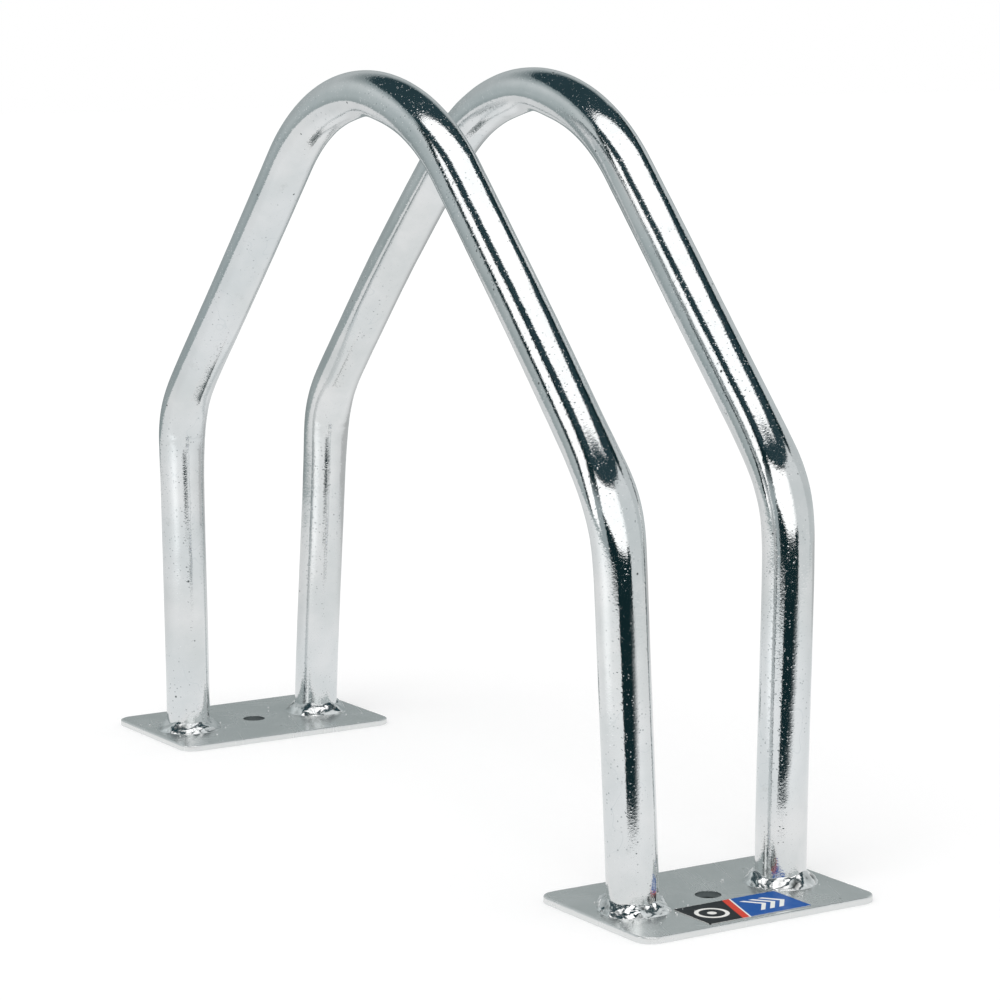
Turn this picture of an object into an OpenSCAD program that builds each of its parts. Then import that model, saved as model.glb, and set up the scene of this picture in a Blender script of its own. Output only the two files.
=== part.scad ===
// Floor or wall bicycle rack for one wheel: two bent steel tube hoops welded to two flat base plates.
// +X runs along the wheel, from plate to plate, +Y across it, from hoop to hoop, and +Z up from the floor.
// The origin is on the floor, midway between the four feet. Lengths are in millimetres, angles in degrees.

/* [Tube] */
// Outside diameter of the hoop tube
tube_d = 22; // [18:0.5:28]
// Wall of the hoop tube
tube_wall = 1.5; // [1:0.1:3]

/* [Hoop shape] */
// Distance between the two feet of one hoop, centre to centre
foot_span = 400; // [360:1:460]
// Height of the corner between leg and slope above the plate, before it is rounded
leg_rise = 166; // [130:1:200]
// Angle that each leg leans inwards from upright
leg_tilt = 1.6; // [0:0.2:4]
// Angle of the sloping part from upright
slope_angle = 43; // [38:0.5:48]
// Radius of the bend between leg and slope, to the middle of the tube
bend_r = 84; // [50:1:110]
// Radius of the crown, to the middle of the tube
crown_r = 102; // [70:1:120]

/* [Hoop pair] */
// Distance between the two hoops at their feet, centre to centre
hoop_spacing = 78; // [64:1:86]
// Angle that each hoop leans away from the wheel
hoop_lean = 1; // [0:0.25:3]

/* [Base plates] */
// Length of a plate, across the wheel
plate_len = 120; // [112:1:160]
// Width of a plate, along the wheel
plate_w = 80; // [66:1:110]
// Thickness of a plate
plate_t = 3; // [2:0.5:8]
// Radius of a plate's corners
plate_corner_r = 8; // [1:0.5:15]
// Diameter of the anchor hole in the middle of a plate
anchor_d = 11; // [6:0.5:14]

/* [Welds] */
// Reach of a weld bead, out over the plate and up the tube
bead_leg = 5; // [2:0.5:6.5]

/* [Label] */
// Thickness of the label
label_t = 0.2; // [0.1:0.05:0.4]
// Clear plate between the label and the anchor hole
label_hole_gap = 5.5; // [2:0.5:10]
// Clear plate between the label and the plate's outer edge
label_edge_gap = 3; // [1:0.5:8]
// Clear plate between the label's corners and the welds
label_weld_gap = 1; // [0.5:0.5:6]

/* [Hidden] */
$fn = 96;
// Fewer sides on the long bent tubes
tube_sides = 48;

tube_r = tube_d / 2;
// Tube that is cut away below the plate's top, so that a leaning leg still ends flat on it
foot_trim = tube_d * tan(leg_tilt + hoop_lean) + 1;
foot_cut = 20;
// The bends are a hair thicker than the straight tube, which runs this far into them, so they join in one
bend_swell = 0.02;
bend_lap = 0.5;

// The corner between leg and slope, and how far each bend starts from its corner
corner_x = foot_span / 2 - leg_rise * tan(leg_tilt);
bend_turn = slope_angle - leg_tilt;
bend_tangent = bend_r * tan(bend_turn / 2);
crown_turn = 180 - 2 * slope_angle;
crown_tangent = crown_r * tan(crown_turn / 2);
leg_len = leg_rise / cos(leg_tilt) - bend_tangent;
slope_len = corner_x / sin(slope_angle) - bend_tangent - crown_tangent;

// The label lies between the hole and the outer edge, and its corners stop short of the welds
bead_r = tube_r + bead_leg;
label_start = anchor_d / 2 + label_hole_gap;
label_w = plate_w / 2 - label_edge_gap - label_start;
weld_reach = sqrt(max(0, (bead_r + label_weld_gap) ^ 2 - label_start ^ 2));
label_len = hoop_spacing - 2 * weld_reach;

steel = [0.80, 0.81, 0.82];
plate_steel = [0.62, 0.64, 0.65];
weld_steel = [0.70, 0.71, 0.72];
label_blue = [0.10, 0.28, 0.55];

// The tube's section, a ring, thickened both ways by the swell
module tube_section(swell = 0) {
    difference() {
        circle(r = tube_r + swell, $fn = tube_sides);
        circle(r = tube_r - tube_wall - swell, $fn = tube_sides);
    }
}

// A straight length of tube, upwards from the origin
module straight_tube(len) {
    linear_extrude(height = len)
        tube_section();
}

// A bend that starts upwards at the origin and turns towards +X by the angle
module bent_tube(r, turn) {
    translate([r, 0, 0])
        rotate([90, 0, 0])
            rotate([0, 0, 180 - turn])
                rotate_extrude(angle = turn, $fn = tube_sides)
                    translate([r, 0])
                        tube_section(bend_swell);
}

// Puts what follows on the far end of such a bend
module after_bend(r, turn) {
    translate([r, 0, 0])
        rotate([0, turn, 0])
            translate([-r, 0, 0])
                children();
}

// Puts what follows at the foot of the left leg, in line with the leg
module at_left_foot() {
    translate([-foot_span / 2, 0, 0])
        rotate([0, leg_tilt, 0])
            children();
}

// The left leg, its bend and its slope
module hoop_side() {
    at_left_foot() {
        translate([0, 0, -foot_trim])
            straight_tube(foot_trim + leg_len + bend_lap);
        translate([0, 0, leg_len]) {
            bent_tube(bend_r, bend_turn);
            after_bend(bend_r, bend_turn)
                translate([0, 0, -bend_lap])
                    straight_tube(slope_len + 2 * bend_lap);
        }
    }
}

// The crown, which joins the two slopes
module hoop_crown() {
    at_left_foot()
        translate([0, 0, leg_len])
            after_bend(bend_r, bend_turn)
                translate([0, 0, slope_len])
                    bent_tube(crown_r, crown_turn);
}

// Puts what follows on the front (side = -1) or rear (side = 1) foot line, on the plates, leaning outwards
module on_foot_line(side) {
    translate([0, side * hoop_spacing / 2, plate_t])
        rotate([-side * hoop_lean, 0, 0])
            children();
}

// One whole hoop, one length of tube, cut off flat at the plates' top
module hoop(side) {
    color(steel)
        difference() {
            on_foot_line(side) {
                hoop_side();
                mirror([1, 0, 0])
                    hoop_side();
                hoop_crown();
            }
            translate([-foot_span, -plate_len, plate_t - foot_cut])
                cube([2 * foot_span, 2 * plate_len, foot_cut]);
        }
}

// A rectangle with round corners, about the origin
module rounded_rectangle(w, len, r) {
    square([w - 2 * r, len], center = true);
    square([w, len - 2 * r], center = true);
    for (x = [-1, 1], y = [-1, 1])
        translate([x * (w / 2 - r), y * (len / 2 - r)])
            circle(r = r);
}

// One base plate, left (end = -1) or right (end = 1), with its anchor hole
module base_plate(end) {
    color(plate_steel)
        translate([end * foot_span / 2, 0, 0])
            difference() {
                linear_extrude(height = plate_t)
                    rounded_rectangle(plate_w, plate_len, plate_corner_r);
                translate([0, 0, -1])
                    cylinder(d = anchor_d, h = plate_t + 2);
            }
}

// The weld round one foot: a quarter-round bead that fits the leg it holds
module weld(side, end) {
    color(weld_steel)
        difference() {
            translate([end * foot_span / 2, side * hoop_spacing / 2, plate_t])
                rotate_extrude()
                    intersection() {
                        union() {
                            translate([tube_r, 0])
                                circle(r = bead_leg);
                            translate([tube_r / 2, 0])
                                square([tube_r / 2, bead_leg]);
                        }
                        translate([tube_r / 2, 0])
                            square([tube_r / 2 + bead_leg, bead_leg]);
                    }
            on_foot_line(side)
                mirror([end > 0 ? 1 : 0, 0, 0])
                    at_left_foot()
                        translate([0, 0, -foot_trim])
                            cylinder(r = tube_r, h = 2 * (foot_trim + bead_leg));
        }
}

// The plain label on the right plate, outside the anchor hole
module label() {
    color(label_blue)
        translate([foot_span / 2 + label_start, -label_len / 2, plate_t])
            cube([label_w, label_len, label_t]);
}

hoop(-1);  // hoop_front
hoop(1);  // hoop_rear
base_plate(-1);  // base_plate_left
base_plate(1);  // base_plate_right
weld(-1, -1);  // weld_front_left
weld(-1, 1);  // weld_front_right
weld(1, -1);  // weld_rear_left
weld(1, 1);  // weld_rear_right
label();
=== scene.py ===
import math

import bmesh
import bpy
import numpy as np
from mathutils import Matrix


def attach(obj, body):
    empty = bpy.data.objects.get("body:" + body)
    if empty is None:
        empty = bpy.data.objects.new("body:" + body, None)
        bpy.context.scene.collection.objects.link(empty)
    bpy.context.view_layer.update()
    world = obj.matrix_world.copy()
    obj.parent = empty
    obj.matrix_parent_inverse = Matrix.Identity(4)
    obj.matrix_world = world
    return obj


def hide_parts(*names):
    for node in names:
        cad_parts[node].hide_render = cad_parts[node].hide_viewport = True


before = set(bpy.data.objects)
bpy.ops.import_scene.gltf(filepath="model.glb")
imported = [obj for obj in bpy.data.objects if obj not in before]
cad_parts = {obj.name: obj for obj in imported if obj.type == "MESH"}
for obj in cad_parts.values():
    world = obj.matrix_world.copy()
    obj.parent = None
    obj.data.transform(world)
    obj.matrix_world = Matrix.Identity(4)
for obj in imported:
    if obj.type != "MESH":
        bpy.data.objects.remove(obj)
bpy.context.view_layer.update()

scene = bpy.context.scene

# Sizes of the rack in millimetres, as in the CAD source, and angles in radians
MM = 0.001
FULL_TURN = 2 * math.pi
TUBE_R = 11.0
TUBE_WALL = 1.5
FOOT_SPAN = 400.0
LEG_RISE = 166.0
LEG_TILT = math.radians(1.6)
SLOPE_ANGLE = math.radians(43.0)
BEND_R = 84.0
CROWN_R = 102.0
HOOP_SPACING = 78.0
HOOP_LEAN = math.radians(1.0)
PLATE_LEN = 120.0
PLATE_W = 80.0
PLATE_T = 3.0
PLATE_CORNER_R = 8.0
ANCHOR_R = 5.5
LABEL_X = (211.0, 237.0)
LABEL_W = LABEL_X[1] - LABEL_X[0]
LABEL_HALF = 26.04
LABEL_T = 0.2

# How each hoop strays from the drawn one, as bent by hand, at its left foot, bend and slope, its crown, and
# its right slope, bend and foot: first outwards in its own plane, then across it towards the rear
STRAY_FRONT = ((-0.5, 0.0, -0.4, 0.0, 0.2, -0.5, 0.4), (0.8, 0.1, 0.4, 0.0, 0.2, -0.6, 0.5))
STRAY_REAR = ((1.2, -0.2, 1.0, 0.0, 0.7, 1.0, -0.4), (-1.6, 0.5, -1.2, -0.3, 0.7, 1.2, -0.7))

BEND_TURN = SLOPE_ANGLE - LEG_TILT
CROWN_TURN = math.pi - 2 * SLOPE_ANGLE
CROWN_TANGENT = CROWN_R * math.tan(CROWN_TURN / 2)
CORNER_X = FOOT_SPAN / 2 - LEG_RISE * math.tan(LEG_TILT)
# Length of tube that the press bends at each lower bend, which is sharpest in its middle
PRESS_SPREAD = 1.45
BEND_LEN = PRESS_SPREAD * BEND_R * BEND_TURN
# How far into each lower bend its crease lies, and the length of one wrinkle next to it
CREASE_AT = 33.0
WRINKLE_LEN = 11.0


# Small helpers

def linear(code, strength=1.0):
    """A colour written as #rrggbb, turned from sRGB to the linear numbers of shaders, times a strength."""
    value = np.array([int(code[i:i + 2], 16) for i in (1, 3, 5)]) / 255
    low = value / 12.92
    high = ((value + 0.055) / 1.055) ** 2.4
    rgb = np.where(value <= 0.04045, low, high) * strength
    return (float(rgb[0]), float(rgb[1]), float(rgb[2]), 1.0)


def ease(x, start, end):
    """0 before start, 1 after end, and the smooth step 3t^2 - 2t^3 between them."""
    t = np.clip((x - start) / (end - start), 0, 1)
    return t * t * (3 - 2 * t)


def bell(x, centre, width):
    """A bell curve of height 1 about the centre, exp(-(x - centre)^2 / width^2)."""
    return np.exp(-((x - centre) / width) ** 2)


def blend(a, b, t):
    """The straight blend of a and b: a where t is 0 and b where it is 1."""
    return a * (1 - t) + b * t


def quad(corners, u, v):
    """A flat four-sided sheet: the straight blend of its corners, by u from the first to the second and from
    the fourth to the third, and by v between these two sides."""
    a, b, c, d = [np.array(p, float) for p in corners]
    return blend(blend(a, b, u), blend(d, c, u), v)


def angle_gap(angle, where):
    """How far an angle is from another, the short way round, from 0 to half a turn."""
    return np.abs((angle - where + math.pi) % FULL_TURN - math.pi)


def ripple(rng, a, b, waves, a_most, b_most):
    """An uneven height about 0: a sum of cosines of whole random frequencies in the two angles a and b, over
    the root of their number."""
    height = np.zeros(np.broadcast(a, b).shape)
    for _ in range(waves):
        fa = rng.integers(-a_most, a_most + 1)
        fb = rng.integers(0, b_most + 1)
        height += np.cos(fa * a + fb * b + rng.uniform(0, FULL_TURN))
    return height / math.sqrt(waves)


def shell(points, wrap_rows=False, wrap_columns=False, uv=None, extra=None):
    """One grid of points as arrays of vertices and four-sided faces, facing outwards; a wrapped side joins
    its last line to its first. uv holds a pair for each point, with one line more on each wrapped side, so
    that a pattern runs on over the seam, and extra a number for each."""
    rows, columns = points.shape[:2]
    index = np.arange(rows * columns).reshape(rows, columns)
    if wrap_rows:
        index = np.vstack([index, index[:1]])
    if wrap_columns:
        index = np.hstack([index, index[:, :1]])
    corners = (slice(0, -1), slice(0, -1)), (slice(1, None), slice(0, -1)), \
              (slice(1, None), slice(1, None)), (slice(0, -1), slice(1, None))
    faces = np.stack([index[c] for c in corners], -1).reshape(-1, 4)
    verts = points.reshape(-1, 3)
    if uv is None:
        uv = np.zeros((*index.shape, 2))
    corner_uv = np.stack([uv[c] for c in corners], -2).reshape(-1, 4, 2)
    tri = verts[faces[:, :3]]
    other = verts[faces[:, [0, 2, 3]]]
    volume = np.einsum("ij,ij->", tri[:, 0], np.cross(tri[:, 1], tri[:, 2]))
    volume += np.einsum("ij,ij->", other[:, 0], np.cross(other[:, 1], other[:, 2]))
    if volume < 0:
        faces = faces[:, ::-1]
        corner_uv = corner_uv[:, ::-1]
    extra = np.zeros(len(verts)) if extra is None else extra.reshape(-1)
    return verts, faces, corner_uv, extra


def piece(name, shells, material, extra_name=None, merged=True):
    """Joins shells, in millimetres, into one mesh object in metres at the origin, with a UV map, smooth
    faces and the shells' extra numbers as an attribute. Points that fall together are merged."""
    offsets = np.cumsum([0] + [len(s[0]) for s in shells[:-1]])
    verts = np.vstack([s[0] for s in shells]) * MM
    faces = np.vstack([s[1] + o for s, o in zip(shells, offsets)])
    corner_uv = np.vstack([s[2] for s in shells])
    mesh = bpy.data.meshes.new(name)
    mesh.vertices.add(len(verts))
    mesh.vertices.foreach_set("co", verts.astype(np.float32).ravel())
    mesh.loops.add(faces.size)
    mesh.loops.foreach_set("vertex_index", faces.astype(np.int32).ravel())
    mesh.polygons.add(len(faces))
    mesh.polygons.foreach_set("loop_start", np.arange(0, faces.size, 4, dtype=np.int32))
    mesh.update(calc_edges=True)
    mesh.polygons.foreach_set("use_smooth", np.ones(len(faces), bool))
    layer = mesh.uv_layers.new(name="UVMap")
    layer.data.foreach_set("uv", corner_uv.astype(np.float32).ravel())
    if extra_name:
        values = np.concatenate([s[3] for s in shells])
        attribute = mesh.attributes.new(extra_name, "FLOAT", "POINT")
        attribute.data.foreach_set("value", values.astype(np.float32))
    mesh.validate()
    if merged:
        joined = bmesh.new()
        joined.from_mesh(mesh)
        bmesh.ops.remove_doubles(joined, verts=joined.verts, dist=1e-7)
        joined.to_mesh(mesh)
        joined.free()
    mesh.materials.append(material)
    made = bpy.data.objects.new(name, mesh)
    scene.collection.objects.link(made)
    return made


def add(tree, kind, sockets=None, out=0, **settings):
    """Adds a shader node and gives the output named or counted by out. Settings are the node's own
    properties, and sockets pairs an input with a value or with the output that feeds it."""
    made = tree.nodes.new("ShaderNode" + kind)
    for key, value in settings.items():
        setattr(made, key, value)
    for key, value in (sockets or {}).items():
        if isinstance(value, bpy.types.NodeSocket):
            tree.links.new(value, made.inputs[key])
        else:
            made.inputs[key].default_value = value
    return made.outputs[out] if made.outputs else made


def new_material(name):
    """An empty node material and its tree."""
    material = bpy.data.materials.new(name)
    material.use_nodes = True
    material.node_tree.nodes.clear()
    return material, material.node_tree


def finish(tree, height, sockets):
    """Closes a material with one Principled shader that takes these sockets and a relief in millimetres."""
    relief = add(tree, "Bump", {"Height": height, "Distance": MM, "Strength": 1.0})
    shader = add(tree, "BsdfPrincipled", {**sockets, "Normal": relief})
    add(tree, "OutputMaterial", {"Surface": shader})


def noise(tree, place, scale, detail, rough):
    """A noise texture, about scale bumps in a metre, with detail octaves, each rough times the last."""
    return add(tree, "TexNoise", {"Vector": place, "Scale": scale, "Detail": detail, "Roughness": rough})


def scatter(tree, place, scale):
    """Cells strewn about, scale in a metre: the distance to the nearest cell's point, and a random number
    from 0 to 1 for each cell."""
    cells = add(tree, "TexVoronoi", {"Vector": place, "Scale": scale}, out="Distance")
    return cells, add(tree, "SeparateColor", {0: cells.node.outputs["Color"]})


def tone(tree, factor, low, high):
    """Mixes two colours written as #rrggbb, or fed by sockets, by a factor from 0 to 1."""
    sides = [linear(side) if isinstance(side, str) else side for side in (low, high)]
    return add(tree, "Mix", {0: factor, 6: sides[0], 7: sides[1]}, out=2, data_type="RGBA")


def between(tree, value, start, end, low=0.0, high=1.0):
    """Maps a value from start..end to low..high, smoothly and held at both ends."""
    sockets = {"Value": value, "From Min": start, "From Max": end, "To Min": low, "To Max": high}
    return add(tree, "MapRange", sockets, interpolation_type="SMOOTHSTEP")


def combine(tree, operation, a, b=0.0, c=0.0):
    """One step of arithmetic on numbers or sockets."""
    return add(tree, "Math", {0: a, 1: b, 2: c}, operation=operation)


def times(tree, a, b):
    """The product of two numbers or sockets."""
    return combine(tree, "MULTIPLY", a, b)


def total(tree, start, *terms):
    """A start plus terms, each of them a value and what it is multiplied by."""
    for value, share in terms:
        start = combine(tree, "MULTIPLY_ADD", value, share, start)
    return start


# Materials

def zinc_tube():
    """Bright zinc plate on drawn tube: a fine grain that speckles every reflection, raised nodules, shallow
    waves, faint draw lines along the tube, pits, white oxide grains, dull stains and the faint blue of the
    passivation. Its UV map is in metres, along the tube and round it."""
    material, tree = new_material("zinc_tube")
    place = add(tree, "TexCoord", out="Object")
    along = place.node.outputs["UV"]
    # Grain of the plating, under a millimetre, which breaks the edges of highlights into specks
    grain = noise(tree, place, 1000.0, 2.0, 0.75)
    # Raised nodules, one cell in three, which catch light inside the dark reflections
    cells, chance = scatter(tree, place, 700.0)
    dome = between(tree, cells, 0.05, 0.40, 1.0, 0.0)
    chosen = between(tree, chance, 0.64, 0.70)
    nodules = times(tree, dome, chosen)
    # Waves left by drawing and bending, some millimetres long
    waves = noise(tree, place, 150.0, 1.0, 0.4)
    # Draw lines along the tube
    stretched = add(tree, "Mapping", {"Vector": along, "Scale": (14.0, 820.0, 1.0)})
    lines = noise(tree, stretched, 1.0, 3.0, 0.65)
    # Pits: small dark dots in about one cell of six
    pit_cells, pit_chance = scatter(tree, place, 150.0)
    pit_shape = between(tree, pit_cells, 0.05, 0.11, 1.0, 0.0)
    pits = times(tree, pit_shape, between(tree, pit_chance, 0.80, 0.84))
    # Fine pits that pepper some patches
    patches = noise(tree, place, 22.0, 2.0, 0.5)
    fine_pits = times(tree, dome, between(tree, chance, 0.16, 0.12))
    fine_pits = times(tree, fine_pits, between(tree, patches, 0.45, 0.62))
    # White grains of zinc oxide, half a millimetre wide, which show up in the dark reflections
    grain_cells, grain_chance = scatter(tree, place, 1000.0)
    grains = between(tree, grain_cells, 0.10, 0.42, 1.0, 0.0)
    grains = times(tree, grains, between(tree, grain_chance, 0.80, 0.84))
    grains = times(tree, grains, between(tree, patches, 0.36, 0.56, 0.25, 1.0))
    # Outlines of dried drops, as thin level lines of a slow noise, in the same patches
    drops = noise(tree, place, 70.0, 1.0, 0.4)
    level = combine(tree, "ABSOLUTE", combine(tree, "SUBTRACT", drops, 0.56))
    outlines = between(tree, level, 0.0, 0.010, 1.0, 0.0)
    outlines = times(tree, outlines, between(tree, patches, 0.50, 0.62))
    # Clouding and stains
    clouds = noise(tree, place, 30.0, 5.0, 0.6)
    stain_noise = noise(tree, place, 85.0, 6.0, 0.7)
    stains = between(tree, stain_noise, 0.60, 0.72)
    blue_noise = noise(tree, place, 11.0, 3.0, 0.5)
    blue = between(tree, blue_noise, 0.42, 0.70)

    colour = tone(tree, between(tree, clouds, 0.3, 0.7), "#dfe2e2", "#f0f0f0")
    colour = tone(tree, times(tree, blue, 0.35), colour, "#dfe6ea")
    colour = tone(tree, times(tree, stains, 0.35), colour, "#c9cccb")
    colour = tone(tree, pits, colour, "#6c7172")
    colour = tone(tree, times(tree, fine_pits, 0.75), colour, "#8a9294")
    colour = tone(tree, times(tree, outlines, 0.2), colour, "#b3c0c5")
    rough = between(tree, clouds, 0.3, 0.7, 0.06, 0.10)
    rough = total(tree, rough, (fine_pits, 0.15), (stains, 0.06), (pits, 0.35))
    # The oxide is no metal
    metallic = total(tree, 1.0, (grains, -0.6))
    # Heights in millimetres
    height = total(tree, 0.0, (grain, 0.034), (nodules, 0.034), (waves, 0.022), (lines, 0.003), (pits, -0.05))
    finish(tree, height, {"Base Color": colour, "Metallic": metallic, "Roughness": rough})
    return material


def zinc_plate():
    """Zinc plate on rolled flat bar: satin and greyer than the tube, with mill clouding, fine scratches in
    two directions, pits, brighter sheared edges with upright shear lines, and a dark bore, partly bare steel
    that the zinc hardly reached and partly painted shade in the hole. The attribute edge is 1 on the sheared
    edges and -1 in the bore. The dull film on the zinc keeps a grey of its own where the plate mirrors
    something dark."""
    material, tree = new_material("zinc_plate")
    place = add(tree, "TexCoord", out="Object")
    grain = noise(tree, place, 900.0, 3.0, 0.65)
    clouds = noise(tree, place, 45.0, 6.0, 0.65)
    mottle = noise(tree, place, 190.0, 4.0, 0.6)
    waves = noise(tree, place, 60.0, 1.0, 0.4)
    scratches = None
    for angle, lengthwise, across, first in ((0.35, 9.0, 900.0, 0.66), (-1.1, 14.0, 1100.0, 0.69)):
        turned = add(tree, "Mapping", {"Vector": place, "Rotation": (0.0, 0.0, angle)})
        drawn = add(tree, "Mapping", {"Vector": turned, "Scale": (lengthwise, across, 1.0)})
        fine = noise(tree, drawn, 1.0, 2.0, 0.5)
        line = between(tree, fine, first, first + 0.05)
        scratches = line if scratches is None else combine(tree, "MAXIMUM", scratches, line)
    pit_cells, pit_chance = scatter(tree, place, 170.0)
    pit_shape = between(tree, pit_cells, 0.05, 0.12, 1.0, 0.0)
    pits = times(tree, pit_shape, between(tree, pit_chance, 0.82, 0.86))
    edge = add(tree, "Attribute", out="Fac", attribute_name="edge")
    upright = add(tree, "Mapping", {"Vector": place, "Scale": (1.0, 1.0, 0.06)})
    shear = noise(tree, upright, 700.0, 3.0, 0.6)

    colour = tone(tree, between(tree, clouds, 0.3, 0.7), "#d0d4d3", "#dcdfde")
    colour = tone(tree, between(tree, mottle, 0.45, 0.75, 0.0, 0.35), colour, "#cdd1d0")
    colour = tone(tree, times(tree, scratches, 0.35), colour, "#f1f2f2")
    colour = tone(tree, pits, colour, "#7b7f7e")
    colour = tone(tree, times(tree, edge, 0.7), colour, "#f2f3f3")
    # The bore is painted darker and made rougher: partly bare steel, partly painted shade in the hole
    bore = between(tree, edge, -0.9, -0.2, 1.0, 0.0)
    colour = tone(tree, bore, colour, "#606869")
    rough = between(tree, clouds, 0.3, 0.7, 0.17, 0.25)
    rough = total(tree, rough, (bore, 0.2), (mottle, 0.06), (scratches, 0.08))
    shear_lines = times(tree, shear, edge)
    height = total(tree, 0.0, (grain, 0.016), (mottle, 0.012), (waves, 0.05), (scratches, -0.006))
    height = total(tree, height, (pits, -0.05), (shear_lines, 0.05))
    finish(tree, height, {"Base Color": colour, "Metallic": 0.78, "Roughness": rough})
    return material


def zinc_weld():
    """Zinc plate over weld bead: bright, molten-looking lumps, with grey, rougher hollows and scale in the
    deepest. The attribute hollow goes from 0 on the lumps to 1 in the hollows."""
    material, tree = new_material("zinc_weld")
    place = add(tree, "TexCoord", out="Object")
    grain = noise(tree, place, 800.0, 3.0, 0.65)
    lumps = noise(tree, place, 230.0, 2.0, 0.5)
    hollow = add(tree, "Attribute", out="Fac", attribute_name="hollow")
    worn = total(tree, hollow, (lumps, 0.35))
    deep = between(tree, worn, 0.75, 1.15)
    colour = tone(tree, between(tree, grain, 0.3, 0.7), "#f2f3f3", "#fafafa")
    colour = tone(tree, between(tree, worn, 0.55, 1.0, 0.0, 0.6), colour, "#a4a6a4")
    colour = tone(tree, times(tree, deep, 0.85), colour, "#454948")
    rough = between(tree, worn, 0.3, 1.0, 0.06, 0.24)
    height = total(tree, 0.0, (grain, 0.02), (lumps, 0.20))
    finish(tree, height, {"Base Color": colour, "Metallic": 1.0, "Roughness": rough})
    return material


def label_film():
    """Printed vinyl film: charcoal, a red band and blue across its length, with a white ring and three white
    chevrons, a pale cut edge, fine scuffs and a satin gloss. Its UV map is in millimetres from one corner."""
    material, tree = new_material("label_film")
    place = add(tree, "TexCoord", out="Object")
    sheet = place.node.outputs["UV"]
    across = add(tree, "SeparateXYZ", {0: sheet}, out="X")
    length = across.node.outputs["Y"]
    white = "#f2f2ee"
    # Charcoal, then the red band on a slant, then blue
    slant = total(tree, length, (across, 0.32))
    colour = tone(tree, between(tree, slant, 24.9, 25.1), "#1d2225", "#d8402c")
    colour = tone(tree, between(tree, slant, 28.4, 28.6), colour, white)
    colour = tone(tree, between(tree, slant, 29.2, 29.4), colour, "#0b56a6")
    # The ring and its middle dot on the charcoal
    centre = (LABEL_W / 2, 10.5, 0.0)
    from_centre = add(tree, "VectorMath", {0: sheet, 1: centre}, out="Value", operation="DISTANCE")
    off_ring = combine(tree, "ABSOLUTE", combine(tree, "SUBTRACT", from_centre, 6.4))
    ring = between(tree, off_ring, 0.8, 1.0, 1.0, 0.0)
    dot = between(tree, from_centre, 1.9, 2.1, 1.0, 0.0)
    colour = tone(tree, combine(tree, "MAXIMUM", ring, dot), colour, white)
    # Three chevrons on the blue
    fold = combine(tree, "ABSOLUTE", combine(tree, "SUBTRACT", across, LABEL_W / 2))
    arrow = total(tree, length, (fold, 0.8))
    beat = combine(tree, "PINGPONG", combine(tree, "SUBTRACT", arrow, 37.0), 2.4)
    stripes = between(tree, beat, 1.1, 1.3, 1.0, 0.0)
    within = times(tree, between(tree, arrow, 35.9, 36.0), between(tree, arrow, 48.0, 48.1, 1.0, 0.0))
    within = times(tree, within, between(tree, fold, 7.4, 7.6, 1.0, 0.0))
    colour = tone(tree, times(tree, stripes, within), colour, white)
    # The cut edge shows the pale film, and scuffs dull the print
    margin = combine(tree, "MINIMUM", across, length)
    far_across = combine(tree, "SUBTRACT", LABEL_W, across)
    far_length = combine(tree, "SUBTRACT", 2 * LABEL_HALF, length)
    margin = combine(tree, "MINIMUM", margin, combine(tree, "MINIMUM", far_across, far_length))
    wear_noise = noise(tree, place, 600.0, 4.0, 0.6)
    worn = total(tree, margin, (wear_noise, 0.9))
    colour = tone(tree, between(tree, worn, 0.50, 0.75, 0.8, 0.0), colour, "#dcdedc")
    dust = noise(tree, place, 120.0, 5.0, 0.7)
    colour = tone(tree, between(tree, dust, 0.5, 0.85, 0.0, 0.12), colour, "#b9bdbd")
    rough = between(tree, dust, 0.3, 0.7, 0.30, 0.46)
    peel = noise(tree, place, 350.0, 2.0, 0.5)
    sheen = {"Specular IOR Level": 0.05, "Coat Weight": 0.05, "Coat Roughness": 0.15}
    finish(tree, times(tree, peel, 0.03), {"Base Color": colour, "Roughness": rough, **sheen})
    return material


# Hoops

def pressed(part):
    """Share of a press bend's turn that is done at a part, 0 to 1, of its length: 0.3 of it eases in over
    the whole length and 0.7 over the middle half."""
    return 0.3 * ease(part, 0, 1) + 0.7 * ease(part, 0.25, 0.75)


def hoop_axis():
    """The middle line of a hoop in its own plane. Its direction holds along the legs and slopes, turns
    evenly over the crown, and turns at each lower bend as pressed tube does, a little over all of it and
    mostly in its middle half. The line is the running sum of that direction, and a bend's ends lie so far
    from its corner that the corner stays put. Gives the marks between its runs, and its length, x, height
    and direction."""
    share = pressed(np.linspace(0, 1, 401))
    tangent = BEND_LEN * np.mean(np.cos(BEND_TURN * (share - 0.5))) / (2 * math.cos(BEND_TURN / 2))
    leg_len = LEG_RISE / math.cos(LEG_TILT) - tangent
    slope_len = CORNER_X / math.sin(SLOPE_ANGLE) - tangent - CROWN_TANGENT
    runs = [0, leg_len, BEND_LEN, slope_len, CROWN_R * CROWN_TURN, slope_len, BEND_LEN, leg_len]
    marks = np.cumsum(runs)
    length = np.linspace(0, marks[-1], 40001)
    lower = pressed((length - marks[1]) / BEND_LEN) + pressed((length - marks[5]) / BEND_LEN)
    turn = LEG_TILT + BEND_TURN * lower
    turn += CROWN_TURN * np.clip((length - marks[3]) / (marks[4] - marks[3]), 0, 1)
    step = length[1] - length[0]
    ahead, up = np.sin(turn), np.cos(turn)
    x = np.concatenate([[0], np.cumsum((ahead[1:] + ahead[:-1]) / 2)]) * step - FOOT_SPAN / 2
    height = np.concatenate([[0], np.cumsum((up[1:] + up[:-1]) / 2)]) * step
    return marks, length, x, height, turn


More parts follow.
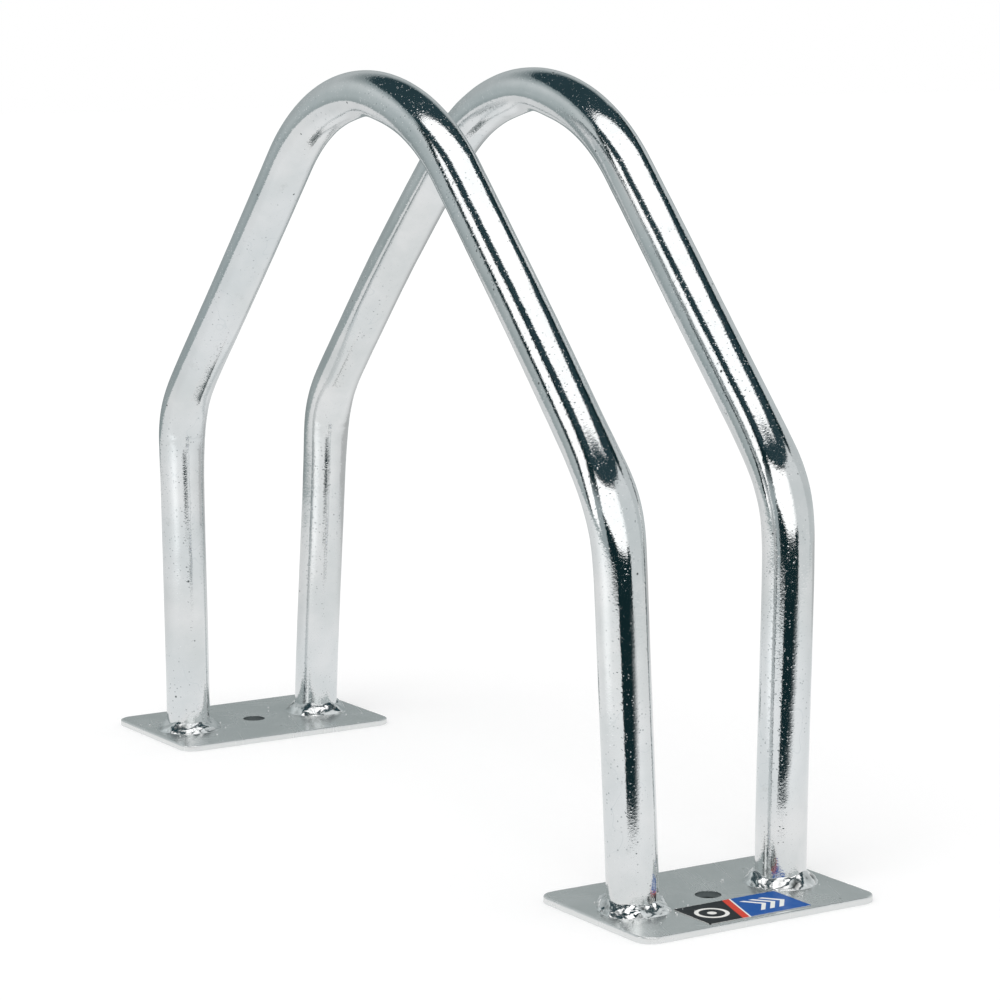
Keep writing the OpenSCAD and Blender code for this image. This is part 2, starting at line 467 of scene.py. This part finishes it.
def strayed(s, marks, values):
    """How far the hoop strays at s: it eases from one value to the next, from the left foot over the crown
    to the right foot."""
    middles = (marks[:-1] + marks[1:]) / 2
    stations = [0, middles[1], middles[2], middles[3], middles[4], middles[5], marks[-1]]
    so_far = values[0] + 0 * s
    for i in range(6):
        so_far = so_far + (values[i + 1] - values[i]) * ease(s, stations[i], stations[i + 1])
    return so_far


def dent(s, around, at, where, size):
    """A round dent of depth 1 in the tube's wall, at a length along it and an angle round it: a bell curve
    of the distance over the surface."""
    gap = TUBE_R * angle_gap(around, where)
    return np.exp(-((s - at) ** 2 + gap ** 2) / size ** 2)


def hoop(name, side, seed, stray, pinch, spreads, material):
    """A hollow tube of round section carried along the hoop's middle line, front (side -1) or rear (side 1).
    At a point, around is the angle in the section, 0 on the outside of the bends, and radius * cos and sin
    of it lie along the outward normal and across the hoop's plane. The lower bends spread the section across
    and flatten it, and their inside has a faint crease and small dents. The underside of the crown is
    pinched in to a facet, and low random waves and dents move the wall in and out. The outer wall runs one
    way and the inner wall back, so the two close over the ends."""
    rng = np.random.default_rng(seed)
    marks, length, axis_x, axis_h, axis_turn = hoop_axis()
    columns, outer_rows, inner_rows = 92, 830, 130
    outer = np.linspace(0, marks[-1], outer_rows)
    inner = np.linspace(marks[-1], 0, inner_rows)
    s = np.concatenate([outer, inner])[:, None]
    wall = np.concatenate([np.zeros(len(outer)), np.full(len(inner), TUBE_WALL)])[:, None]
    around = (np.arange(columns) * FULL_TURN / columns)[None, :]
    x = np.interp(s, length, axis_x)
    h = np.interp(s, length, axis_h)
    turn = np.interp(s, length, axis_turn)

    # How much each bend flattens the section and spreads it across the plane, and the pinch under the crown
    crown = ease(s, marks[3] - 12, marks[3] + 22) * ease(-s, -marks[4] - 12, -marks[4] + 22)
    spread = spreads[0] * bell(s, marks[1] + 40, 20) + spreads[1] * bell(s, marks[5] + 38, 20)
    flat = 0.10 * crown + 0.30 * spread
    spread = spread + 0.10 * crown
    apex = (marks[3] + marks[4]) / 2
    pinched = pinch * bell(s, apex - 1, 14) * ease(-np.cos(around), 0.0, 0.95)

    # Inside of the lower bends: a crease where the leg gives way, small dents just below it, shallow wrinkles
    inside = ease(-np.cos(around), 0.15, 0.8)
    crease = 0
    for mark, way in ((marks[1] + CREASE_AT, 1), (marks[6] - CREASE_AT, -1)):
        crease = crease + 0.05 * bell(s, mark - 1.3 * way, 1.1) - 0.07 * bell(s, mark + 1.5 * way, 1.7)
        for _ in range(6):
            at, where = mark - way * rng.uniform(1, 11), math.pi + rng.uniform(-0.9, 0.9)
            size, depth = rng.uniform(0.8, 1.7), rng.uniform(-0.05, 0.10)
            crease = crease - depth * dent(s, around, at, where, size)
    wrinkle = bell(s, marks[1] + 45, 22) + bell(s, marks[6] - 45, 22)
    wrinkle = wrinkle * 0.022 * np.cos((s - marks[1]) * FULL_TURN / WRINKLE_LEN)
    waves = 0.018 * ripple(rng, around, s / marks[-1] * FULL_TURN, 26, 3, 60)
    dents = 0
    for _ in range(22):
        at, where = rng.uniform(20, marks[-1] - 20), rng.uniform(0, FULL_TURN)
        size, depth = rng.uniform(1.2, 3.0), rng.uniform(0.02, 0.08)
        dents = dents - depth * dent(s, around, at, where, size)
    lift = (crease + wrinkle) * inside + waves + dents
    lift = np.where(wall > 0, 0, lift)
    fade = ease(s, 0, 12) * ease(-s, -marks[-1], -marks[-1] + 12)
    radius = TUBE_R - wall + lift * fade
    out = (radius - flat) * np.cos(around) + pinched + strayed(s, marks, stray[0])
    aside = (radius + spread) * np.sin(around) + strayed(s, marks, stray[1])

    # The legs lean, so each line of the wall starts where it meets the plate
    lean_y, lean_z = side * math.sin(HOOP_LEAN), math.cos(HOOP_LEAN)
    raised = out * np.sin(turn) * lean_z - aside * lean_y
    near_foot = 1 - ease(np.minimum(s, marks[-1] - s), 0, 40)
    shift = -raised * near_foot / (math.cos(LEG_TILT) * lean_z)
    plane_x = x + out * -np.cos(turn) + shift * np.sin(turn) * np.sign(np.cos(turn))
    plane_h = h + out * np.sin(turn) + shift * np.abs(np.cos(turn))
    y = side * HOOP_SPACING / 2 + plane_h * lean_y + aside * lean_z
    z = PLATE_T + plane_h * lean_z - aside * lean_y
    points = np.stack([plane_x, y, z], -1)
    travel = np.concatenate([s[:, 0], [marks[-1] * 2]])
    turnwise = np.arange(columns + 1) * FULL_TURN / columns * TUBE_R
    uv = np.stack(np.broadcast_arrays(travel[:, None] * MM, turnwise[None, :] * MM), -1)
    made = piece(name, [shell(points, True, True, uv)], material)
    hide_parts(name.replace("tube_", ""))
    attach(made, "root")
    return made


# Welds

def ball_shells(centres, radii, rows=7, columns=10):
    """Small balls: for each centre and radius, a globe of latitudes and longitudes, closed at its poles."""
    polar = np.linspace(0.12, math.pi - 0.12, rows)[:, None]
    around = np.arange(columns)[None, :] * FULL_TURN / columns
    level = np.sin(polar) * np.cos(around), np.sin(polar) * np.sin(around)
    globe = np.stack(np.broadcast_arrays(*level, np.cos(polar)), -1)
    top = np.broadcast_to(np.array([0, 0, 1.0]), globe[:1].shape)
    globe = np.concatenate([top, globe, -top])
    return [shell(c + r * globe, wrap_columns=True) for c, r in zip(centres, radii)]


def weld(name, side, end, seed, stray, material):
    """A hand-laid fillet round one foot. Around is the angle about the leg and across goes from the tube
    over the bead to the plate. The bead is between a straight chamfer and a quarter round: it reaches out by
    reach and up by rise, both uneven, with broad lumps pushed out along it and hollows between them,
    smoother on the left plate. It closes inside the tube's wall."""
    rng = np.random.default_rng(seed)
    columns, rows = 300, 44
    around = (np.arange(columns) * FULL_TURN / columns)[None, :]
    across = np.linspace(0, 1, rows)[:, None]
    quarter = across * math.pi / 2
    reach = 4.9 + 0.6 * ripple(rng, around, 0 * around, 5, 5, 0)
    rise = 4.7 + 0.8 * ripple(rng, around, 0 * around, 6, 6, 0)
    lumps = 0
    for _ in range(20):
        where, at = rng.uniform(0, FULL_TURN), rng.uniform(0.1, 0.95)
        size, tall = rng.uniform(0.10, 0.30), rng.uniform(-0.6, 0.7)
        lumps = lumps + tall * np.exp(-(angle_gap(around, where) / size) ** 2 - ((across - at) / 0.24) ** 2)
    coarse, fine = (0.16, 0.05) if end > 0 else (0.09, 0.025)
    lumps = lumps + coarse * ripple(rng, around, quarter, 16, 14, 4)
    lumps = lumps + fine * ripple(rng, around, quarter, 24, 40, 12)
    push = lumps * ease(across, 0, 0.12) * ease(1 - across, 0, 0.10)
    roundness = 0.35
    out = roundness * np.sin(quarter) + (1 - roundness) * across
    up = roundness * np.cos(quarter) + (1 - roundness) * (1 - across)
    r = TUBE_R + np.maximum(reach, 2.5) * out + push * np.sin(quarter)
    z = np.maximum(rise, 2.6) * up + push * np.cos(quarter)
    r = np.maximum(r, TUBE_R - 0.05)
    z = np.maximum(z, 0.0)
    # The hidden side, in the tube's wall, as shares of the bead's height down to the plate and a hair into it
    hidden_r = TUBE_R + np.array([-0.5, -1.0, -1.0, -0.7])[:, None] + 0 * around
    hidden_z = np.concatenate([[[-0.15], [-0.1]] + 0 * around, z[:1] * np.array([[0.4], [0.7]])])
    toe_r = r[-1:]
    toe_z = 0 * toe_r - 0.15
    r = np.concatenate([hidden_r, r, toe_r])
    z = np.concatenate([hidden_z, z, toe_z])
    hollow = np.clip(0.5 - push * 0.55, 0, 1)
    hollow = np.concatenate([np.full(hidden_r.shape, 0.5), hollow, np.full(toe_r.shape, 0.6)])
    foot = np.array([end * (FOOT_SPAN / 2 + stray[0]), side * HOOP_SPACING / 2 + stray[1], PLATE_T])
    x = foot[0] + r * np.cos(around) - end * math.tan(LEG_TILT) * z
    y = foot[1] + r * np.sin(around) + side * math.tan(HOOP_LEAN) * z
    points = np.stack([x, y, foot[2] + z], -1)
    shells = [shell(points, True, True, extra=hollow)]
    # Spatter: small beads thrown on the plate, clear of its edges
    count = 16
    angle = rng.uniform(0, FULL_TURN, count)
    away = TUBE_R + rng.uniform(5.0, 16.0, count)
    size = rng.uniform(0.22, 0.62, count)
    ball_x = foot[0] + away * np.cos(angle)
    ball_y = foot[1] + away * np.sin(angle)
    centres = np.stack([ball_x, ball_y, foot[2] + 0.3 * size], -1)
    inside = (np.abs(ball_x - end * FOOT_SPAN / 2) < PLATE_W / 2 - 3) & (np.abs(ball_y) < PLATE_LEN / 2 - 3)
    shells += ball_shells(centres[inside], size[inside])
    made = piece(name, shells, material, "hollow")
    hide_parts(name.replace("bead_", "weld_"))
    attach(made, "root")
    return made


# Base plates

def rounded_outline(half_x, half_y, corner, count):
    """A rectangle with round corners, anticlockwise, as points at even steps and their outward normals: each
    corner is a quarter circle, each side a straight line between two of them."""
    straight = [2 * (half_y - corner), 2 * (half_x - corner)] * 2
    arc = corner * math.pi / 2
    starts = np.cumsum([0] + [v for pair in zip(straight, [arc] * 4) for v in pair])
    at = np.arange(count) * starts[-1] / count
    centres = np.array([[1, 1], [-1, 1], [-1, -1], [1, -1]]) * [half_x - corner, half_y - corner]
    sides = np.array([[0, 1], [-1, 0], [0, -1], [1, 0]])
    part = np.searchsorted(starts, at, side="right") - 1
    side = part // 2
    along = at - starts[part]
    turned = np.where(part % 2 == 1, along / corner, 0.0) + side * math.pi / 2
    normal = np.stack([np.cos(turned), np.sin(turned)], -1)
    back = np.where(part % 2 == 0, np.array(straight)[side] - along, 0.0)
    points = centres[side] + corner * normal - sides[side] * back[:, None]
    return points, normal


def base_plate(name, end, seed, material):
    """A flat plate with a drilled hole, left (end -1) or right (end 1). Each line of the grid starts at the
    hole, goes out over the top to the edge, down it and back underneath: between them the plate is a
    straight blend of the hole's circle and the outline. The top edge is rolled over by the shears, the
    bottom one is sharp, and nicks push it in."""
    rng = np.random.default_rng(seed)
    count = 520
    outline, normal = rounded_outline(PLATE_W / 2, PLATE_LEN / 2, PLATE_CORNER_R, count)
    angle = np.arctan2(outline[:, 1], outline[:, 0])
    hole = np.stack([np.cos(angle), np.sin(angle)], -1)
    perimeter = np.arange(count) * FULL_TURN / count

    nicks = np.zeros(count)
    for _ in range(26):
        where, size, depth = rng.uniform(0, FULL_TURN), rng.uniform(0.004, 0.014), rng.uniform(0.08, 0.4)
        nicks += depth * np.exp(-(angle_gap(perimeter, where) / size) ** 2)
    uneven = 0.05 + 0.05 * ripple(rng, perimeter, 0 * perimeter, 12, 40, 0)

    # The bore and the edge as pairs of a distance, out from the hole or in from the outline, and a height
    top = PLATE_T
    bore = [(0.15, 0.0), (0.0, 0.25), (0.0, 1.0), (0.0, 2.0), (0.0, top - 0.45)]
    bore += [(0.05, top - 0.2), (0.16, top - 0.06), (0.35, top)]
    side = [(0.75, top - 0.005), (0.50, top - 0.05), (0.25, top - 0.15), (0.08, top - 0.35)]
    side += [(0.0, top - 0.65), (0.0, 1.6), (0.0, 0.8), (0.03, 0.3), (0.12, 0.08), (0.3, 0.0)]
    bore_rows, side_rows, bore_edge, side_edge = [], [], [], []
    for inset, height in bore:
        bore_rows.append(np.column_stack([hole * (ANCHOR_R + inset), np.full(count, height)]))
        # The bore wall is marked -1, which the finish paints dark: partly bare steel, partly painted shade
        bore_edge.append(np.full(count, -1.0 if inset < 0.1 else 0.0))
    for inset, height in side:
        cut = inset + np.clip(nicks + uneven, 0.01, 1) * (1 if 0.3 < height < top - 0.01 else 0.5)
        side_rows.append(np.column_stack([outline - normal * cut[:, None], np.full(count, height)]))
        side_edge.append(np.full(count, 1.0 if height < top - 0.1 else 0.6))

    # The top between them dips in low waves, less in its first rings round the hole
    first, last = bore_rows[-1], side_rows[0]
    wavy = []
    for t in np.linspace(0, 1, 64)[1:-1]:
        ring = first + (last - first) * t
        low = 0.03 + 0.02 * ripple(np.random.default_rng(seed + 5), ring[:, 0] / 30, ring[:, 1] / 30, 9, 3, 3)
        fade = 1.0 if len(wavy) > 2 else 0.3
        wavy.append(np.column_stack([ring[:, :2], top - np.clip(low, 0, 0.08) * fade * 0.6]))
    last, first = side_rows[-1], bore_rows[0]
    under = [last + (first - last) * t for t in np.linspace(0, 1, 10)[1:-1]]
    plain = np.zeros(count)
    points = np.stack(bore_rows + wavy + side_rows + under)
    worn = np.stack(bore_edge + [plain] * len(wavy) + side_edge + [plain] * len(under))
    points = points + np.array([end * FOOT_SPAN / 2, 0, 0])
    made = piece(name, [shell(points, True, True, extra=worn)], material, "edge")
    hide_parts(name.replace("anchor_", "base_"))
    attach(made, "root")
    return made


# Label

def label_sheet(name, material):
    """A thin film with small round corners. Rings go from the middle out to the outline, over the cut edge
    and back underneath; the top is a straight blend towards the middle, and its corners lift by a hair."""
    count = 240
    cut_edge, sag = 0.05, 0.05
    outline, normal = rounded_outline(LABEL_W / 2, LABEL_HALF, 1.2, count)
    shares = np.linspace(0, 1, 26)[:, None, None]
    flat = outline[None] * shares
    raised = LABEL_T - sag * (1 - shares[..., 0] ** 4) + 0 * flat[..., 0]
    over = np.concatenate([flat, raised[..., None]], -1)
    over[-1, :, :2] = outline - normal * cut_edge
    side = np.concatenate([outline, np.full((count, 1), LABEL_T - cut_edge)], -1)[None]
    foot = np.concatenate([outline, np.zeros((count, 1))], -1)[None]
    below = np.concatenate([flat[::-1][1:], np.zeros((len(shares) - 1, count, 1))], -1)
    points = np.concatenate([over, side, foot, below])
    seat = np.array([(LABEL_X[0] + LABEL_X[1]) / 2, 0, PLATE_T])
    uv = points[..., :2] + [LABEL_W / 2, LABEL_HALF]
    uv = np.concatenate([uv, uv[:, :1]], 1)
    made = piece(name, [shell(points + seat, wrap_columns=True, uv=uv)], material)
    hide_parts("label")
    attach(made, "root")
    return made


tube_finish = zinc_tube()
plate_finish = zinc_plate()
weld_finish = zinc_weld()
film_finish = label_film()
hoop("tube_hoop_front", -1, 11, STRAY_FRONT, 1.2, (1.0, 1.3), tube_finish)
hoop("tube_hoop_rear", 1, 12, STRAY_REAR, 1.8, (0.9, 0.8), tube_finish)
base_plate("anchor_plate_left", -1, 21, plate_finish)
base_plate("anchor_plate_right", 1, 22, plate_finish)
weld("bead_front_left", -1, -1, 31, (STRAY_FRONT[0][0], STRAY_FRONT[1][0]), weld_finish)
weld("bead_front_right", -1, 1, 32, (STRAY_FRONT[0][-1], STRAY_FRONT[1][-1]), weld_finish)
weld("bead_rear_left", 1, -1, 33, (STRAY_REAR[0][0], STRAY_REAR[1][0]), weld_finish)
weld("bead_rear_right", 1, 1, 34, (STRAY_REAR[0][-1], STRAY_REAR[1][-1]), weld_finish)
label_sheet("film_label", film_finish)


# Camera at the photograph's viewing angle

CAMERA_PLACE = (1.2755, -0.7878, 0.3776)
CAMERA_ROUND = math.radians(57.506)
CAMERA_DOWN = math.radians(8.863)
CAMERA_ROLL = math.radians(-0.121)
camera_data = bpy.data.cameras.new("camera")
camera_data.sensor_width = 36.0
camera_data.lens = 118.06
camera = bpy.data.objects.new("camera", camera_data)
scene.collection.objects.link(camera)
turn_round = Matrix.Rotation(CAMERA_ROUND, 4, "Z")
tip = Matrix.Rotation(math.pi / 2 - CAMERA_DOWN, 4, "X")
roll = Matrix.Rotation(CAMERA_ROLL, 4, "Z")
camera.matrix_world = Matrix.Translation(CAMERA_PLACE) @ turn_round @ tip @ roll
scene.camera = camera


# Floor, world and light

WHITE = (1.0, 1.0, 1.0, 1.0)


def floor_paper():
    """White paper floor: near-white, with a little of its own light for the camera and for reflections, so
    that it reads white and still takes the object's soft shadow, and with painted shade under the plates."""
    material, tree = new_material("floor_paper")
    place = add(tree, "TexCoord", out="Object")
    fibres = noise(tree, place, 40.0, 3.0, 0.5)
    colour = tone(tree, fibres, "#f3f3f3", "#f4f4f4")
    # Painted shadow: where a plate lies on it, the paper is painted a deep shade and gives off none of its
    # own light, and this shows through the anchor holes
    spot = add(tree, "SeparateXYZ", {0: place}, out="X")
    from_middle = combine(tree, "ABSOLUTE", spot)
    off_x = combine(tree, "ABSOLUTE", combine(tree, "SUBTRACT", from_middle, FOOT_SPAN / 2 * MM))
    off_y = combine(tree, "ABSOLUTE", spot.node.outputs["Y"])
    open_x = between(tree, off_x, 0.028, 0.032)
    open_y = between(tree, off_y, 0.048, 0.052)
    outside_painted_shade = combine(tree, "MAXIMUM", open_x, open_y)
    colour = tone(tree, outside_painted_shade, "#3c4547", colour)
    paper = add(tree, "BsdfDiffuse", {"Color": colour})
    own_light = times(tree, times(tree, seen_rays(tree), outside_painted_shade), 0.15)
    glow = add(tree, "Emission", {"Color": WHITE, "Strength": own_light})
    add(tree, "OutputMaterial", {"Surface": add(tree, "AddShader", {0: paper, 1: glow})})
    return material


def seen_rays(tree):
    """1 for what the camera sees, straight, in a gloss or through something clear, and 0 for other light."""
    camera_ray = add(tree, "LightPath", out="Is Camera Ray")
    path = camera_ray.node.outputs
    seen = combine(tree, "MAXIMUM", camera_ray, path["Is Glossy Ray"])
    return combine(tree, "MAXIMUM", seen, path["Is Transmission Ray"])


even_u = np.linspace(0, 1, 9)[:, None, None]
even_v = np.linspace(0, 1, 9)[None, :, None]
FLOOR_HALF = 8.0
floor_corners = [(x * FLOOR_HALF, y * FLOOR_HALF, 0) for x, y in ((-1, -1), (1, -1), (1, 1), (-1, 1))]
floor = piece("floor", [shell(quad(floor_corners, even_u, even_v) / MM)], floor_paper())

world = bpy.data.worlds.new("studio_air")
scene.world = world
world.use_nodes = True
air_tree = world.node_tree
air_tree.nodes.clear()
# White to look at, and a little darker as light
air_level = between(air_tree, seen_rays(air_tree), 0.0, 1.0, 0.80, 1.0)
air = add(air_tree, "Background", {"Color": WHITE, "Strength": air_level})
add(air_tree, "OutputWorld", {"Surface": air})

# A soft key light from the front right, high up, which no reflection shows
sun_data = bpy.data.lights.new("soft_key", "SUN")
sun_data.energy = 0.75
sun_data.angle = math.radians(50)
sun = bpy.data.objects.new("soft_key", sun_data)
scene.collection.objects.link(sun)
sun.matrix_world = Matrix.Rotation(math.radians(30), 4, "Z") @ Matrix.Rotation(math.radians(35), 4, "X")
sun.visible_glossy = False


# Studio boards, which only reflections see: a pale tent with a window, a strip, an overhead box and dark gaps

def board_paint():
    """Plain board that gives off the shade painted on its points."""
    material, tree = new_material("board_paint")
    painted = add(tree, "Attribute", out="Color", attribute_name="shade")
    glow = add(tree, "Emission", {"Color": painted, "Strength": 1.0})
    add(tree, "OutputMaterial", {"Surface": glow})
    material.cycles.emission_sampling = "NONE"
    return material


def board(name, points, shades):
    """A studio board: points in metres on a grid and a linear colour at each, seen only by reflections."""
    made = piece(name, [shell(points / MM)], board_finish, merged=False)
    colours = np.concatenate([np.broadcast_to(shades, points.shape), np.ones((*points.shape[:2], 1))], -1)
    layer = made.data.attributes.new("shade", "FLOAT_COLOR", "POINT")
    layer.data.foreach_set("color", colours.astype(np.float32).ravel())
    made.visible_camera = False
    made.visible_diffuse = False
    made.visible_shadow = False
    made.visible_transmission = False
    return made


def wall(name, turns, heights, back, first, upper=None, far=None, dim=1.0, upper_turns=None):
    """A curved board round the object, the cylinder of the room's radius plus back. Turns are degrees from
    the front round to the right, at its lower edge, and at its upper edge too unless upper_turns gives
    others, and the board is the blend of them. Its colour is first, and goes smoothly to upper at its upper
    edge or to far at its far end. Its first half is as bright as dim says."""
    u = np.linspace(0, 1, 41)[None, :]
    v = np.linspace(0, 1, 17)[:, None]
    radius = ROOM_R + back
    angle = np.radians(blend(blend(*turns, u), blend(*(upper_turns or turns), u), v))
    points = np.stack([radius * np.sin(angle), -radius * np.cos(angle), blend(*heights, v) + 0 * u], -1)
    colours = first
    if upper is not None:
        colours = blend(first, upper, ease(v + 0 * u, 0, 1)[..., None])
    elif far is not None:
        colours = blend(first, far, ease(u + 0 * v, 0, 1)[..., None])
    bright = dim + (1 - dim) * ease(u + 0 * v, 0.40, 0.60)[..., None]
    return board(name, points, colours * bright)


def surround(name, end):
    """A bright sheet on the table round one plate, the plate's sides moved out, which lights its edges."""
    half_x = (PLATE_W / 2 + SURROUND_MARGIN) * MM
    half_y = (PLATE_LEN / 2 + SURROUND_MARGIN) * MM
    x = end * FOOT_SPAN / 2 * MM + np.linspace(-half_x, half_x, 9)[:, None]
    y = np.linspace(-half_y, half_y, 9)[None, :]
    points = np.stack(np.broadcast_arrays(x, y, np.array([[SURROUND_Z]])), -1)
    return board(name, points, WHITE_CARD * SURROUND_SHARE)


def shade(code, strength=1.0):
    """A studio board's colour as three linear numbers."""
    return np.array(linear(code, strength)[:3])


board_finish = board_paint()
# The tube gives back about this share of the light, and the greys are written as they look in it
TINT = 0.8
WHITE_CARD = shade("#ffffff", 1.3)
PALE_CARD = shade("#c3c7c8", 1 / TINT)
LOW_CARD = shade("#8f9899", 1 / TINT)
GREY_CARD = shade("#a2aaab", 1 / TINT)
HIGH_CARD = shade("#b6bcbd", 1 / TINT)
TOP_CARD = shade("#7c8789", 1 / TINT)
GAP_CARD = shade("#939c9e", 1 / TINT)
BACK_CARD = shade("#b2b7b8", 1 / TINT)
DARK_CARD = shade("#14292d")
CEILING_CARD = shade("#2a3e44")
# The room's radius and height and the height of each flat sheet, in metres, how far the bright surround
# reaches past a plate, in millimetres, and its share of the white card's light
ROOM_R = 1.05
ROOM_H = 1.18
BOX_Z = 1.0
TABLE_Z = 0.0004
EDGE_Z = 0.0008
SURROUND_Z = 0.0009
SURROUND_MARGIN = 14.0
SURROUND_SHARE = 0.66
wall("wall_low", (-150, 5), (0, 0.35), 0.03, LOW_CARD, upper=GREY_CARD, dim=0.8)
wall("wall_middle", (-150, 5), (0.35, 0.80), 0.03, GREY_CARD, upper=HIGH_CARD, dim=0.8)
wall("wall_high", (-150, 5), (0.80, ROOM_H), 0.03, HIGH_CARD, upper=TOP_CARD, dim=0.8)
wall("wall_pale", (5, 150), (0, ROOM_H), 0.03, PALE_CARD)
wall("wall_back", (150, 210), (0, 0.90), 0.03, BACK_CARD)
wall("wall_back_top", (150, 210), (0.90, ROOM_H), 0.03, DARK_CARD)
wall("gap_low", (4, 34), (0.0, 0.40), 0.02, GAP_CARD)
wall("gap_shade", (4, 34), (0.40, 0.85), 0.02, GAP_CARD, upper=DARK_CARD)
wall("gap_dark", (4, 34), (0.85, ROOM_H), 0.02, DARK_CARD)
wall("wall_top", (-28, 100), (1.06, ROOM_H), -0.01, DARK_CARD)
wall("window", (33, 90), (0.40, ROOM_H), 0, WHITE_CARD)
wall("window_low", (62, 90), (0.17, 0.40), 0, WHITE_CARD, upper_turns=(33, 90))
wall("window_fade", (90, 100), (0.22, ROOM_H), 0, WHITE_CARD, far=PALE_CARD)
wall("strip", (-12, 10), (0.10, 1.06), 0, WHITE_CARD, upper_turns=(-18, 9))
wall("strip_rim", (-23, -12), (0.10, 1.06), 0, DARK_CARD, upper_turns=(-29, -18))
wall("low_dark", (30, 100), (0.0, 0.40), 0.01, DARK_CARD)

surround("surround_left", -1)
surround("surround_right", 1)

around = np.radians(np.linspace(0, 360, 121))[None, :]
out = np.linspace(0, ROOM_R + 0.04, 33)[:, None]
disc = np.stack([out * np.sin(around), -out * np.cos(around), 0 * out * around], -1)
board("ceiling", disc + [0, 0, ROOM_H], CEILING_CARD)

# The table's greys, all the way round from the front over the right, the back and the left: one grey in its
# middle, these from half a metre out, and farther out a darker patch at the back
sweep = np.degrees(around)
table_turns = [0, 12, 24, 60, 80, 140, 160, 240, 290, 328, 345, 360]
table_greys = [0.90, 0.86, 0.74, 0.70, 0.76, 0.66, 0.62, 0.56, 0.60, 0.66, 0.76, 0.90]
table_tint = np.array([0.985, 1.0, 1.005]) / TINT
middle_grey = 0.68
round_greys = np.interp(sweep, table_turns, table_greys)
far_greys = round_greys * (1 - 0.30 * ease(sweep, 166, 178) * ease(-sweep, -236, -222))
table_shade = middle_grey + (round_greys - middle_grey) * ease(out, 0.30, 0.50)
table_shade = blend(table_shade, far_greys, ease(out, 0.50, 0.62))
board("table_top", disc + [0, 0, TABLE_Z], table_shade[..., None] * table_tint)

box_corners = [(0.170, 0.570), (0.560, 0.190), (0.475, -0.430), (-0.235, -0.560)]
box_corners = [(x, y, BOX_Z) for x, y in box_corners]
board("overhead_box", quad(box_corners, even_u, even_v), WHITE_CARD)

# Past the table's edge it is dark, and it grows lighter towards the back
edge_corners = [(0.335, -0.182), (0.43, -0.02), (1.348, 0.572), (0.922, -0.80)]
edge_corners = [(x, y, EDGE_Z) for x, y in edge_corners]
edge_u = np.linspace(0, 1, 41)[None, :, None]
edge_v = np.linspace(0, 1, 9)[:, None, None]
lighter = ease(edge_u + 0 * edge_v, 0.53, 1.0)
board("table_edge", quad(edge_corners, edge_u, edge_v), blend(DARK_CARD, 0.62 * table_tint, lighter))


scene.view_settings.view_transform = "Standard"
bpy.context.view_layer.update()
